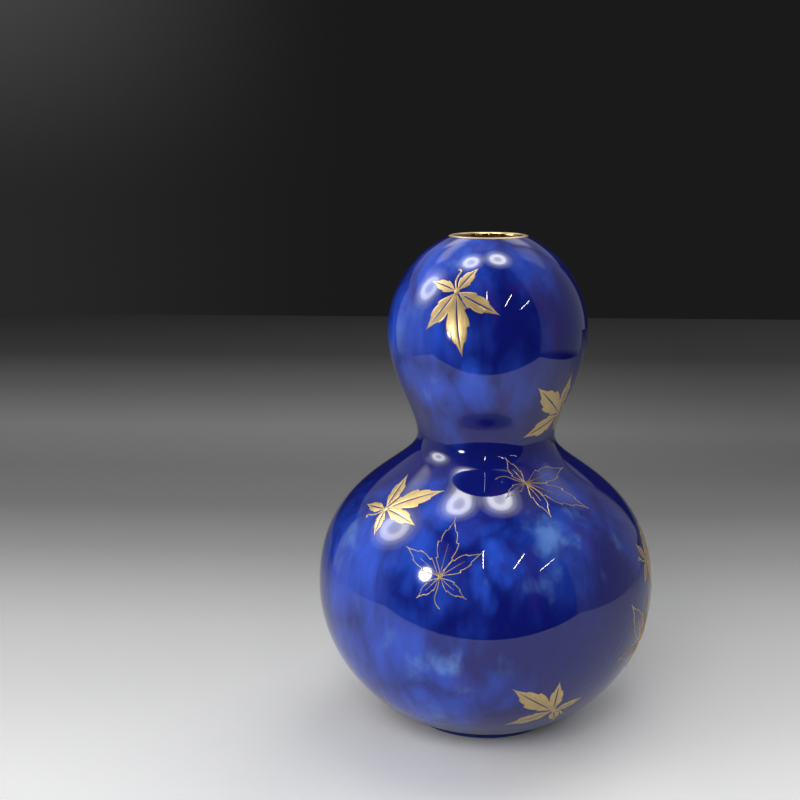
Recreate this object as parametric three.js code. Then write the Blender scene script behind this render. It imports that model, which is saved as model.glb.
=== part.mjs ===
// Double-gourd porcelain vase with a gilded lip and a scatter of gilded five-fingered leaves.
// Millimetres, +Z up, the foot stands on z = 0 and the axis of the vase is the Z axis.
import * as THREE from 'three';

// Outer form: heights are above the table, radii are to the glaze
const HEIGHT = 250;
const BELLY_RADIUS = 85.8;
const BELLY_HEIGHT = 71.3;
const WAIST_RADIUS = 34.9;
const WAIST_HEIGHT = 150;
const BULB_RADIUS = 50;
const BULB_HEIGHT = 201.9;
const MOUTH_RADIUS = 16.6;
const LIP_THICKNESS = 3.2;
const LIP_SLOPE = 24;

// How long the wall stays upright beside each ring, as a share of the rise between the two rings
const SHOULDER_FULLNESS = 0.725;
const WAIST_FULLNESS_BELOW = 0.22;
const WAIST_FULLNESS_ABOVE = 0.24;
const NECK_FULLNESS = 0.415;
const DOME_FULLNESS = 0.445;
const CROWN_FULLNESS = 0.43;

// Foot and wall
const WALL = 4.5;
const FOOT_RADIUS = 38;
const FOOT_HEIGHT = 2;
const FOOT_WIDTH = 5.5;
const FOOT_RECESS = 3.6;
const FOOT_BEVEL = 0.6;

// Gilding: the metal is laid over the glaze with a small clearance
const GILT_GAP = 0.3;
const GILT_THICKNESS = 0.4;
const GILT_OUTSIDE = 0.9;
const GILT_INSIDE = 2.9;

// One leaf: lengths run from the hub to each tip, angles turn clockwise from the middle leaflet
const MIDDLE_LENGTH = 31.5;
const SIDE_LENGTH = 24;
const BASE_LENGTH = 15.5;
const STEM_WIDTH = 0.9;
const HUB_RADIUS = 1.4;
const HUB_SPREAD = 14;
const SLIT_WIDTH = 0.75;
const LINE_WIDTH = 0.65;
const LEAFLETS = [
  { angle: 0, length: MIDDLE_LENGTH, breadth: 0.33, teeth: [0.29, 0.56, 0.75] },
  { angle: 48, length: SIDE_LENGTH, breadth: 0.31, teeth: [0.4, 0.69] },
  { angle: 121, length: BASE_LENGTH, breadth: 0.35, teeth: [0.42, 0.71] },
  { angle: 221, length: BASE_LENGTH, breadth: 0.35, teeth: [0.42, 0.71] },
  { angle: 302, length: SIDE_LENGTH, breadth: 0.32, teeth: [0.38, 0.69] },
];
const STEM_ANGLE = 180;

// How a stem bends aside on its way out, as shares of its length: hooked on a filled leaf, and in
// one long curve on a leaf drawn in line
const HOOKED_STEM = { length: 12.5, bends: [0, 0.07, -0.04, -0.17, -0.06] };
const CURVED_STEM = { length: 14.4, bends: [0, 0, -0.05, -0.03, 0.17] };

// Along a leaflet, as shares of its length: where its margin starts to swell, how far a notch lies
// past its tooth, where a line leaflet closes towards its tip and where its vein ends
const MARGIN_START = 0.14;
const WIDEST = 0.47;
const TAPER = 1.6;
const NOTCH_STEP = 0.03;
const LINE_CLOSING = 0.92;
const VEIN_SHARE = 0.6;
const TOOTH_OUT = 1.13;
const NOTCH_IN = 0.88;

// Where each leaf lies: a stretch of the glaze from one ring to the next, and the share of that
// stretch below the leaf's hub. Azimuth and heading are in degrees, and heading 0 points the middle
// leaflet straight up. Reach and turn are a leaf's own departures from the common leaflets: shares of
// their lengths, and degrees added to their angles
const PLACES = [
  { name: 'gilt_leaf_bulb_front', on: 'dome', share: 0.425, azimuth: -109, heading: 170 },
  { name: 'gilt_leaf_bulb_right', on: 'neck', share: 0.262, azimuth: -23.2, heading: 299,
    reach: [1.01, 0.99, 1, 0.85, 1.06] },
  { name: 'line_leaf_shoulder_front', line: true, on: 'shoulder', share: 0.799, azimuth: -65.9,
    heading: 119, reach: [1.06, 0.91, 0.94, 1.05, 1.19], turn: [-1, -2, 1, 1, 7] },
  { name: 'gilt_leaf_shoulder_left', on: 'shoulder', share: 0.569, azimuth: -137.3, heading: 47,
    reach: [0.99, 0.95, 0.97, 1.01, 0.95] },
  { name: 'line_leaf_belly_front', line: true, on: 'shoulder', share: 0.295, azimuth: -104.6,
    heading: 4, reach: [0.94, 0.96, 1.03, 0.96, 0.95], turn: [1, 2, -2, -1, -2] },
  { name: 'gilt_leaf_belly_low_front', on: 'underside', share: 0.484, azimuth: -61.7, heading: 304,
    reach: [1.03, 0.94, 1.04, 0.97, 1.02], turn: [1, 0, 6, -8, -6] },
  { name: 'gilt_leaf_belly_right', on: 'shoulder', share: 0.21, azimuth: -16, heading: 102,
    reach: [1, 1, 0.9, 0.88, 0.9] },
  { name: 'line_leaf_belly_low_right', line: true, on: 'underside', share: 0.77, azimuth: -21.2,
    heading: 323, reach: [1.03, 1, 1, 1, 1.06] },
  { name: 'gilt_leaf_bulb_back', on: 'dome', share: 0.167, azimuth: 62, heading: 215 },
  { name: 'line_leaf_bulb_left', line: true, on: 'neck', share: 0.78, azimuth: 150, heading: 20 },
  { name: 'gilt_leaf_shoulder_back', on: 'shoulder', share: 0.589, azimuth: 58, heading: 250 },
  { name: 'line_leaf_belly_back', line: true, on: 'underside', share: 0.933, azimuth: 50, heading: 190 },
  { name: 'gilt_leaf_belly_left', on: 'shoulder', share: 0.081, azimuth: 138, heading: 75 },
];

// Fineness of the facets
const TURN_STEPS = 48;
const INNER_FINENESS = 0.45;
const BELLY_STEPS = 8;
const SHOULDER_STEPS = 12;
const NECK_STEPS = 10;
const DOME_STEPS = 6;
const LIP_STEPS = 4;
const TABLE_STEPS = 120;
const WALK_STEP = 1.5;

const radians = THREE.MathUtils.degToRad;
const point = (radius, height) => new THREE.Vector2(radius, height);

// The outer meridian as four curves, from the foot up to the lip
const lipRound = LIP_THICKNESS / 2;
const lipCentre = point(MOUTH_RADIUS + lipRound, HEIGHT - GILT_GAP - GILT_THICKNESS - lipRound);
const lipNormal = point(Math.sin(radians(LIP_SLOPE)), Math.cos(radians(LIP_SLOPE)));
const lipStart = lipCentre.clone().addScaledVector(lipNormal, lipRound);

function underside() {
  const start = Math.acos(FOOT_RADIUS / BELLY_RADIUS);
  const depth = (BELLY_HEIGHT - FOOT_HEIGHT) / Math.sin(start);
  return new THREE.EllipseCurve(0, BELLY_HEIGHT, BELLY_RADIUS, depth, -start, 0);
}

function upright(lower, upper, lowShare, highShare) {
  const rise = upper.y - lower.y;
  const lowHandle = point(lower.x, lower.y + rise * lowShare);
  const highHandle = point(upper.x, upper.y - rise * highShare);
  return new THREE.CubicBezierCurve(lower, lowHandle, highHandle, upper);
}

function dome() {
  const rise = lipStart.y - BULB_HEIGHT;
  const lowHandle = point(BULB_RADIUS, BULB_HEIGHT + rise * DOME_FULLNESS);
  const slope = point(lipNormal.y, -lipNormal.x);
  const highHandle = lipStart.clone().addScaledVector(slope, rise * CROWN_FULLNESS);
  return new THREE.CubicBezierCurve(point(BULB_RADIUS, BULB_HEIGHT), lowHandle, highHandle, lipStart);
}

const bellyRing = point(BELLY_RADIUS, BELLY_HEIGHT);
const waistRing = point(WAIST_RADIUS, WAIST_HEIGHT);
const bulbRing = point(BULB_RADIUS, BULB_HEIGHT);
const stretches = {
  underside: { curve: underside(), steps: BELLY_STEPS },
  shoulder: {
    curve: upright(bellyRing, waistRing, SHOULDER_FULLNESS, WAIST_FULLNESS_BELOW),
    steps: SHOULDER_STEPS,
  },
  neck: { curve: upright(waistRing, bulbRing, WAIST_FULLNESS_ABOVE, NECK_FULLNESS), steps: NECK_STEPS },
  dome: { curve: dome(), steps: DOME_STEPS },
};

// A fine table of the meridian, so that a place on the glaze is one distance along it
const meridian = [{ along: 0, radius: FOOT_RADIUS, height: FOOT_HEIGHT }];
for (const stretch of Object.values(stretches)) {
  stretch.start = meridian.at(-1).along;
  for (const p of stretch.curve.getSpacedPoints(TABLE_STEPS).slice(1)) {
    const last = meridian.at(-1);
    const along = last.along + Math.hypot(p.x - last.radius, p.y - last.height);
    meridian.push({ along, radius: p.x, height: p.y });
  }
  stretch.end = meridian.at(-1).along;
}

function onMeridian(along) {
  let low = 0;
  let high = meridian.length - 1;
  while (high - low > 1) {
    const middle = (low + high) >> 1;
    if (meridian[middle].along > along) high = middle;
    else low = middle;
  }
  const a = meridian[low];
  const b = meridian[high];
  const gap = b.along - a.along;
  const share = (along - a.along) / gap;
  return {
    radius: a.radius + (b.radius - a.radius) * share,
    height: a.height + (b.height - a.height) * share,
    widening: (b.radius - a.radius) / gap,
    climbing: (b.height - a.height) / gap,
  };
}

// The straightest path on a surface of revolution, from one place in one heading
function walk(along, azimuth, heading, distance) {
  const count = Math.max(2, Math.ceil(distance / WALK_STEP));
  const step = distance / count;
  for (let i = 0; i < count; i += 1) {
    const here = onMeridian(along);
    const midHeading = heading - (step / 2) * Math.sin(heading) * here.widening / here.radius;
    const middle = onMeridian(along + (step / 2) * Math.cos(heading));
    along += step * Math.cos(midHeading);
    azimuth += step * Math.sin(midHeading) / middle.radius;
    heading -= step * Math.sin(midHeading) * middle.widening / middle.radius;
  }
  return { along, azimuth };
}

function onGlaze({ along, azimuth }, lift) {
  const p = onMeridian(along);
  const radius = p.radius + p.climbing * lift;
  const height = p.height - p.widening * lift;
  return new THREE.Vector3(radius * Math.cos(azimuth), radius * Math.sin(azimuth), height);
}

// Profiles of revolution
function offset(profile, distance) {
  return profile.map((p, i) => {
    const before = profile[Math.max(i - 1, 0)];
    const after = profile[Math.min(i + 1, profile.length - 1)];
    const along = after.clone().sub(before).normalize();
    return point(p.x + along.y * distance, p.y - along.x * distance);
  });
}

function lipArc(distance) {
  const points = [];
  for (let i = 0; i <= LIP_STEPS; i += 1) {
    const turn = radians(90 - LIP_SLOPE) + (i / LIP_STEPS) * radians(90 + LIP_SLOPE);
    const reach = lipRound + distance;
    points.push(point(lipCentre.x + reach * Math.cos(turn), lipCentre.y + reach * Math.sin(turn)));
  }
  return points;
}

function outerProfile(fineness) {
  const points = [];
  for (const { curve, steps } of Object.values(stretches)) {
    const count = Math.max(2, Math.round(steps * fineness));
    points.push(...curve.getPoints(count).slice(0, -1));
  }
  return [...points, lipStart];
}

function innerProfile() {
  const floor = FOOT_RECESS + WALL;
  const wall = offset(outerProfile(INNER_FINENESS), -WALL);
  const first = wall.findIndex((p) => p.y > floor);
  const [below, above] = first > 0 ? [wall[first - 1], wall[first]] : [wall[0], wall[1]];
  const corner = below.clone().lerp(above, (floor - below.y) / (above.y - below.y));
  const throat = point(MOUTH_RADIUS, lipStart.y - WALL);
  return [point(0, floor), corner, ...wall.slice(first, -1), throat].reverse();
}

function footProfile() {
  const inner = FOOT_RADIUS - FOOT_WIDTH;
  return [
    point(0, FOOT_RECESS),
    point(inner - FOOT_BEVEL, FOOT_RECESS),
    point(inner, FOOT_RECESS - FOOT_BEVEL),
    point(inner, FOOT_BEVEL),
    point(inner + FOOT_BEVEL, 0),
    point(FOOT_RADIUS - FOOT_BEVEL, 0),
    point(FOOT_RADIUS, FOOT_BEVEL),
  ];
}

function revolve(profile) {
  return new THREE.LatheGeometry(profile, TURN_STEPS).rotateX(Math.PI / 2);
}

function porcelainBody() {
  const outside = outerProfile(1).slice(0, -1);
  return revolve([...footProfile(), ...outside, ...lipArc(0), ...innerProfile()]);
}

function giltRim() {
  const flank = point(lipNormal.y, -lipNormal.x).multiplyScalar(GILT_OUTSIDE);
  const layer = (distance) => {
    const crown = lipArc(distance);
    const skirt = crown[0].clone().add(flank);
    const inside = crown.at(-1).clone().setY(lipCentre.y - GILT_INSIDE);
    return [skirt, ...crown, inside];
  };
  const face = layer(GILT_GAP + GILT_THICKNESS);
  const back = layer(GILT_GAP).reverse();
  return revolve([...face, ...back, face[0]]);
}

// A flat sheet of triangles in the plane of the leaf: x runs forward, y to the right of the leaf
class Sheet {
  points = [];
  triangles = [];
  numbers = new Map();

  vertex(p) {
    const key = `${p.x.toFixed(4)} ${p.y.toFixed(4)}`;
    if (!this.numbers.has(key)) {
      this.numbers.set(key, this.points.length);
      this.points.push(p);
    }
    return this.numbers.get(key);
  }

  triangle(p, q, r) {
    const [a, b, c] = [this.vertex(p), this.vertex(q), this.vertex(r)];
    if (a === b || b === c || c === a) return;
    const area = (q.x - p.x) * (r.y - p.y) - (q.y - p.y) * (r.x - p.x);
    this.triangles.push(area > 0 ? [a, b, c] : [a, c, b]);
  }

  band(left, right) {
    for (let i = 0; i + 1 < left.length; i += 1) {
      this.triangle(left[i], left[i + 1], right[i + 1]);
      this.triangle(left[i], right[i + 1], right[i]);
    }
  }

  // Closes the sheet into a thin plate, with lift giving where each vertex lies at each height
  plate(lift, bottom, top) {
    const count = this.points.length;
    const places = [bottom, top].flatMap((height) => this.points.map((p) => lift(p, height)));
    const faces = this.triangles.flatMap(([a, b, c]) => [a, b, c, a + count, c + count, b + count]);
    const edges = new Set(this.triangles.flatMap(([a, b, c]) => [`${a} ${b}`, `${b} ${c}`, `${c} ${a}`]));
    for (const edge of edges) {
      const [a, b] = edge.split(' ').map(Number);
      if (edges.has(`${b} ${a}`)) continue;
      faces.push(b, a, b + count, a, a + count, b + count);
    }
    const geometry = new THREE.BufferGeometry().setFromPoints(places);
    geometry.setIndex(faces);
    geometry.computeVertexNormals();
    return geometry;
  }
}

const polar = (degrees, distance) =>
  point(distance * Math.cos(radians(degrees)), distance * Math.sin(radians(degrees)));

// Half the breadth of a leaflet at a share of its length, as a share of the greatest
const swell = (share) =>
  ((share / WIDEST) ** WIDEST * ((1 - share) / (1 - WIDEST)) ** (1 - WIDEST)) ** (TAPER / WIDEST);

function leafletStations({ teeth }, line) {
  const stations = [{ share: MARGIN_START, swelling: swell(MARGIN_START) }];
  for (const tooth of teeth) {
    const notch = tooth + NOTCH_STEP;
    stations.push({ share: tooth, swelling: swell(tooth) * TOOTH_OUT });
    stations.push({ share: notch, swelling: swell(notch) * NOTCH_IN });
  }
  if (line) stations.push({ share: LINE_CLOSING, swelling: swell(LINE_CLOSING) });
  return stations;
}

function addLeaflet(sheet, leaflet, line) {
  const stations = leafletStations(leaflet, line);
  const forward = polar(leaflet.angle, 1);
  const sideways = polar(leaflet.angle + 90, 1);
  const at = (share, side) =>
    forward.clone().multiplyScalar(share * leaflet.length).addScaledVector(sideways, side);
  const tip = at(1, 0);
  const half = (leaflet.length * leaflet.breadth) / 2;
  const opens = (i) => i > 0 && i < stations.length - 1;
  const veinEnd = Math.ceil(stations.length * VEIN_SHARE);
  const vein = (i) => (i < veinEnd ? LINE_WIDTH / 2 : 0);
  for (const side of [-1, 1]) {
    const margin = [polar(leaflet.angle + side * HUB_SPREAD, HUB_RADIUS)];
    const inner = [polar(leaflet.angle, HUB_RADIUS)];
    for (const [i, { share, swelling }] of stations.entries()) {
      const outward = swelling * half;
      const slit = opens(i) ? SLIT_WIDTH / 2 : 0;
      const closed = i === 0 ? vein(0) : 0;
      const inward = line ? (opens(i) ? outward - LINE_WIDTH : closed) : slit;
      margin.push(at(share, side * outward));
      inner.push(at(share, side * inward));
    }
    sheet.band([...margin, tip], [...inner, tip]);
  }
  if (!line) return;
  const rib = (side) => [
    polar(leaflet.angle, HUB_RADIUS),
    ...stations.slice(0, veinEnd + 1).map(({ share }, i) => at(share, side * vein(i))),
  ];
  sheet.band(rib(-1), rib(1));
}

function addStem(sheet, { length, bends }) {
  const pace = (length - HUB_RADIUS) / (bends.length - 1);
  const line = bends.map((bend, i) =>
    polar(STEM_ANGLE, HUB_RADIUS + i * pace).add(polar(STEM_ANGLE - 90, bend * length)));
  const edge = (side) => {
    const run = offset(line, (side * STEM_WIDTH) / 2);
    return [polar(STEM_ANGLE - side * HUB_SPREAD, HUB_RADIUS), ...run.slice(1)];
  };
  sheet.band(edge(-1), edge(1));
}

function addHub(sheet, leaflets) {
  const ring = leaflets.flatMap(({ angle }) => [angle - HUB_SPREAD, angle, angle + HUB_SPREAD]);
  ring.push(STEM_ANGLE - HUB_SPREAD, STEM_ANGLE + HUB_SPREAD);
  ring.sort((a, b) => a - b);
  ring.forEach((angle, i) => {
    const next = ring[(i + 1) % ring.length];
    sheet.triangle(point(0, 0), polar(angle, HUB_RADIUS), polar(next, HUB_RADIUS));
  });
}

function leafGeometry({ on, share, azimuth, heading, line = false, reach = [], turn = [] }) {
  const leaflets = LEAFLETS.map((leaflet, i) => ({
    ...leaflet,
    length: leaflet.length * (reach[i] ?? 1),
    angle: leaflet.angle + (turn[i] ?? 0),
  }));
  const sheet = new Sheet();
  addHub(sheet, leaflets);
  addStem(sheet, line ? CURVED_STEM : HOOKED_STEM);
  for (const leaflet of leaflets) addLeaflet(sheet, leaflet, line);
  const { start, end } = stretches[on];
  const lift = (p, height) => {
    const course = radians(heading) + Math.atan2(p.y, p.x);
    return onGlaze(walk(start + (end - start) * share, radians(azimuth), course, p.length()), height);
  };
  return sheet.plate(lift, GILT_GAP, GILT_GAP + GILT_THICKNESS);
}

const cobaltGlaze = () =>
  new THREE.MeshStandardMaterial({ color: 0x16269c, roughness: 0.08, metalness: 0 });
const gold = () =>
  new THREE.MeshStandardMaterial({ color: 0xd8b25c, roughness: 0.3, metalness: 1 });

function add(group, name, geometry, material) {
  const mesh = new THREE.Mesh(geometry, material);
  mesh.name = name;
  group.add(mesh);
}

const vase = new THREE.Group();
add(vase, 'porcelain_body', porcelainBody(), cobaltGlaze());
add(vase, 'gilt_rim', giltRim(), gold());
for (const place of PLACES) add(vase, place.name, leafGeometry(place), gold());

export default vase;
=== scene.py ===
# Double-gourd porcelain vase in a cobalt glaze, with a gilded lip and hand-painted gilded leaves.
# Lengths in the script are millimetres until a mesh is made, and its frame is that of the solids.
import math

import bpy
import numpy as np
from mathutils import Matrix, Vector


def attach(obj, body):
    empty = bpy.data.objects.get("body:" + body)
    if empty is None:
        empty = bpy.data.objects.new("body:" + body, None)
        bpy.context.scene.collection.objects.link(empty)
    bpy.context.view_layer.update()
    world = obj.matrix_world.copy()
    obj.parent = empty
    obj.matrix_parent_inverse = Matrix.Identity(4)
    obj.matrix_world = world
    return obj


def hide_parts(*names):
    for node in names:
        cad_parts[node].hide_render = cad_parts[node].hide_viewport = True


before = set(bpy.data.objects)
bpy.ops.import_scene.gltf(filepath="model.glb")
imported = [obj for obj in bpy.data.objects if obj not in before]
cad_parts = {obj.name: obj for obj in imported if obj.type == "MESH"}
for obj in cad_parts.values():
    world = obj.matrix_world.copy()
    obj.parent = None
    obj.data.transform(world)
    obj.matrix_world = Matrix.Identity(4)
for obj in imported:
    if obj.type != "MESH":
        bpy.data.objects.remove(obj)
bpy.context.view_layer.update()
MM = 0.001

# Outer form, as in the solids: heights above the table and radii to the glaze
HEIGHT = 250
BELLY_RADIUS = 85.8
BELLY_HEIGHT = 71.3
WAIST_RADIUS = 34.9
WAIST_HEIGHT = 150
BULB_RADIUS = 50
BULB_HEIGHT = 201.9
MOUTH_RADIUS = 16.6
LIP_THICKNESS = 3.2
LIP_SLOPE = 24
SHOULDER_FULLNESS = 0.725
WAIST_FULLNESS_BELOW = 0.22
WAIST_FULLNESS_ABOVE = 0.24
NECK_FULLNESS = 0.415
DOME_FULLNESS = 0.445
CROWN_FULLNESS = 0.43
WALL = 4.5
FOOT_RADIUS = 38
FOOT_HEIGHT = 2
FOOT_WIDTH = 5.5
FOOT_RECESS = 3.6
FOOT_BEVEL = 0.6
FOOT_SOFTENING = 0.1
RECESS_FILLET = 1
FLOOR_ROUND = 3

# The gilding on the lip: how far it reaches down outside and inside, how far it stands up at its
# edge and its crown, how full the rise between them is, and how deep its back lies in the porcelain
GILT_OUTSIDE = 0.9
GILT_INSIDE = 2.9
RIM_EDGE = 0.05
RIM_CROWN = 0.15
RIM_FULLNESS = 0.6
RIM_SINK = 0.1

# One leaf: lengths run from the hub to each tip, angles turn clockwise from the middle leaflet,
# and bow is how far a leaflet's midrib bends aside, as a share of its length
MIDDLE_LENGTH = 31.5
SIDE_LENGTH = 24
BASE_LENGTH = 15.5
LEAFLETS = [
    {"angle": 0, "length": MIDDLE_LENGTH, "breadth": 0.33, "teeth": (0.29, 0.56, 0.75), "bow": 0.012},
    {"angle": 48, "length": SIDE_LENGTH, "breadth": 0.31, "teeth": (0.4, 0.69), "bow": -0.022},
    {"angle": 121, "length": BASE_LENGTH, "breadth": 0.35, "teeth": (0.42, 0.71), "bow": 0.02},
    {"angle": 221, "length": BASE_LENGTH, "breadth": 0.35, "teeth": (0.42, 0.71), "bow": -0.02},
    {"angle": 302, "length": SIDE_LENGTH, "breadth": 0.32, "teeth": (0.38, 0.69), "bow": 0.022},
]
STEM_WIDTH = 0.85
LINE_STEM_WIDTH = 0.5
HOOKED_STEM = [(-0.3, 0), (-4.5, 0.8), (-8, -0.3), (-10.3, -2), (-11.6, -1.4), (-11.5, -0.4)]
CURVED_STEM = [(-0.3, 0), (-2.8, 0.1), (-6, -0.1), (-9.2, -0.8), (-11.4, -0.4), (-13.3, 0.8), (-14.4, 2.5)]
HUB_RADIUS = 1.3
LINE_HUB_SHARE = 0.55
BASE_HALF_BREADTH = 0.3
SLIT_WIDTH = 0.75
SLIT_SPAN = (0.11, 0.86)
LINE_WIDTH = 0.4
LINE_SLIMMING = 0.94
VEIN_SHARE = 0.56
BLOB_RADIUS = 0.34
WIDEST = 0.47
TAPER = 1.6
NOTCH_STEP = 0.014
TOOTH_OUT = 1.14
NOTCH_IN = 0.86

# How much leaflets differ, and how much the brush's pressure does
BREADTH_VARIATION = 0.04
BOW_VARIATION = 0.008
TOOTH_VARIATION = 0.02
BLOB_VARIATION = 0.15
VEIN_VARIATION = 0.08
LINE_PRESSURE = 0.16
VEIN_PRESSURE = 0.1
STEM_PRESSURE = 0.08
FIRST_SEED = 100

# Gold lies in the glaze by GOLD_FOOT, and stands up by GOLD_EDGE at its edges and by GOLD_FACE on
# a filled leaflet. Lines, the drops on them and the hub rise above their edges by the others
GOLD_FOOT = 0.06
GOLD_EDGE = 0.04
GOLD_FACE = 0.1
GOLD_LINE = 0.16
GOLD_BLOB = 0.19
GOLD_HUB = 0.18

# Where each leaf lies: a stretch of the meridian, the share of it below the leaf's hub, then the
# azimuth and heading in degrees, where heading 0 points the middle leaflet straight up. Reach and
# turn are a leaf's own departures from the common leaflets: shares of their lengths, and degrees
PLACES = [
    {"node": "gilt_leaf_bulb_front", "stretch": "dome", "share": 0.425, "azimuth": -109, "heading": 170},
    {"node": "gilt_leaf_bulb_right", "stretch": "neck", "share": 0.262, "azimuth": -23.2, "heading": 299,
     "reach": (1.01, 0.99, 1, 0.85, 1.06)},
    {"node": "line_leaf_shoulder_front", "stretch": "shoulder", "share": 0.799, "azimuth": -65.9,
     "heading": 119, "line": True, "reach": (1.06, 0.91, 0.94, 1.05, 1.19), "turn": (-1, -2, 1, 1, 7)},
    {"node": "gilt_leaf_shoulder_left", "stretch": "shoulder", "share": 0.569, "azimuth": -137.3,
     "heading": 47, "reach": (0.99, 0.95, 0.97, 1.01, 0.95)},
    {"node": "line_leaf_belly_front", "stretch": "shoulder", "share": 0.295, "azimuth": -104.6,
     "heading": 4, "line": True, "reach": (0.94, 0.96, 1.03, 0.96, 0.95), "turn": (1, 2, -2, -1, -2)},
    {"node": "gilt_leaf_belly_low_front", "stretch": "underside", "share": 0.484, "azimuth": -61.7,
     "heading": 304, "reach": (1.03, 0.94, 1.04, 0.97, 1.02), "turn": (1, 0, 6, -8, -6)},
    {"node": "gilt_leaf_belly_right", "stretch": "shoulder", "share": 0.21, "azimuth": -16,
     "heading": 102, "reach": (1, 1, 0.9, 0.88, 0.9)},
    {"node": "line_leaf_belly_low_right", "stretch": "underside", "share": 0.77, "azimuth": -21.2,
     "heading": 323, "line": True, "reach": (1.03, 1, 1, 1, 1.06)},
    {"node": "gilt_leaf_bulb_back", "stretch": "dome", "share": 0.167, "azimuth": 62, "heading": 215},
    {"node": "line_leaf_bulb_left", "stretch": "neck", "share": 0.78, "azimuth": 150, "heading": 20,
     "line": True},
    {"node": "gilt_leaf_shoulder_back", "stretch": "shoulder", "share": 0.589, "azimuth": 58,
     "heading": 250},
    {"node": "line_leaf_belly_back", "stretch": "underside", "share": 0.933, "azimuth": 50,
     "heading": 190, "line": True},
    {"node": "gilt_leaf_belly_left", "stretch": "shoulder", "share": 0.081, "azimuth": 138,
     "heading": 75},
]

# Fineness: steps round the axis, along the four stretches of the meridian, and along leaf parts
TURN_STEPS = 240
MERIDIAN_STEPS = 400
OUTSIDE_STEPS = (56, 72, 56, 52)
INSIDE_STEPS = (40, 44, 36, 36)
LIP_STEPS = 14
RIM_STEPS = 15
RIM_BACK_STEPS = 9
WALK_STEPS = 24
LEAFLET_STEPS = 34
BLOB_STEPS = 14
ACROSS_LEAFLET = (0, 0.1, 0.4, 0.7, 0.92, 1)
ACROSS_LINE = (-1, -0.55, 0, 0.55, 1)
LINE_STEP = 0.35

# The photograph's camera, in metres and degrees
CAMERA_PLACE = (0, -0.622, 0.2957)
CAMERA_PITCH = 11.749
CAMERA_PAN = -4.03
CAMERA_ROLL = -0.081
CAMERA_LENS = 56.25
CAMERA_SENSOR = 36


# The meridian: radius and height in four stretches from the foot up to the lip
def polar(degrees, distance=1.0):
    return distance * np.array([math.cos(math.radians(degrees)), math.sin(math.radians(degrees))])


def bezier(a, b, c, d, count):
    t = np.linspace(0, 1, count)[:, None]
    return (1 - t) ** 3 * a + 3 * (1 - t) ** 2 * t * b + 3 * (1 - t) * t**2 * c + t**3 * d


LIP_ROUND = LIP_THICKNESS / 2
LIP_CENTRE = np.array([MOUTH_RADIUS + LIP_ROUND, HEIGHT - RIM_CROWN - LIP_ROUND])
LIP_NORMAL = polar(90 - LIP_SLOPE)
LIP_FLANK = np.array([LIP_NORMAL[1], -LIP_NORMAL[0]])
LIP_START = LIP_CENTRE + LIP_NORMAL * LIP_ROUND
BELLY_RING = np.array([BELLY_RADIUS, BELLY_HEIGHT])
WAIST_RING = np.array([WAIST_RADIUS, WAIST_HEIGHT])
BULB_RING = np.array([BULB_RADIUS, BULB_HEIGHT])
UP = np.array([0.0, 1.0])


def underside(count):
    start = math.acos(FOOT_RADIUS / BELLY_RADIUS)
    depth = (BELLY_HEIGHT - FOOT_HEIGHT) / math.sin(start)
    turn = np.linspace(-start, 0, count)
    return np.column_stack([BELLY_RADIUS * np.cos(turn), BELLY_HEIGHT + depth * np.sin(turn)])


def upright(lower, upper, low_share, high_share, count):
    rise = UP * (upper[1] - lower[1])
    return bezier(lower, lower + rise * low_share, upper - rise * high_share, upper, count)


def dome(count):
    rise = LIP_START[1] - BULB_HEIGHT
    low_handle = BULB_RING + UP * rise * DOME_FULLNESS
    return bezier(BULB_RING, low_handle, LIP_START + LIP_FLANK * rise * CROWN_FULLNESS, LIP_START, count)


STRETCHES = {
    "underside": underside,
    "shoulder": lambda n: upright(BELLY_RING, WAIST_RING, SHOULDER_FULLNESS, WAIST_FULLNESS_BELOW, n),
    "neck": lambda n: upright(WAIST_RING, BULB_RING, WAIST_FULLNESS_ABOVE, NECK_FULLNESS, n),
    "dome": dome,
}


def outer_profile(counts):
    runs = [curve(count) for curve, count in zip(STRETCHES.values(), counts)]
    return np.vstack([runs[0], *[run[1:] for run in runs[1:]]])


def distances(points):
    return np.concatenate([[0], np.cumsum(np.linalg.norm(np.diff(points, axis=0), axis=1))])


MERIDIAN = outer_profile([MERIDIAN_STEPS] * len(STRETCHES))
ALONG = distances(MERIDIAN)
SLOPE = np.gradient(MERIDIAN, ALONG, axis=0)
STRETCH_ENDS = {name: ALONG[(i + 1) * (MERIDIAN_STEPS - 1)] for i, name in enumerate(STRETCHES)}
STRETCH_STARTS = dict(zip(STRETCHES, [0, *STRETCH_ENDS.values()]))


def on_meridian(along):
    """Radius and height at a distance along the meridian, and how fast both grow there."""
    radius, height = (np.interp(along, ALONG, MERIDIAN[:, axis]) for axis in (0, 1))
    widening, climbing = (np.interp(along, ALONG, SLOPE[:, axis]) for axis in (0, 1))
    return radius, height, widening, climbing


def lay_on_glaze(place, points, lifts):
    """Carries points of the leaf's plane (x forward, y to its right) onto the glaze by straightest paths."""
    start, end = STRETCH_STARTS[place["stretch"]], STRETCH_ENDS[place["stretch"]]
    step = np.linalg.norm(points, axis=1) / WALK_STEPS
    along = np.full(len(points), start + (end - start) * place["share"])
    azimuth = np.full(len(points), math.radians(place["azimuth"]))
    heading = math.radians(place["heading"]) + np.arctan2(points[:, 1], points[:, 0])
    for _ in range(WALK_STEPS):
        radius, _, widening, _ = on_meridian(along)
        mid_heading = heading - step / 2 * np.sin(heading) * widening / radius
        radius, _, widening, _ = on_meridian(along + step / 2 * np.cos(heading))
        along = along + step * np.cos(mid_heading)
        azimuth = azimuth + step * np.sin(mid_heading) / radius
        heading = heading - step * np.sin(mid_heading) * widening / radius
    radius, height, widening, climbing = on_meridian(along)
    out = radius + climbing * lifts
    return np.column_stack([out * np.cos(azimuth), out * np.sin(azimuth), height - widening * lifts])


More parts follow.
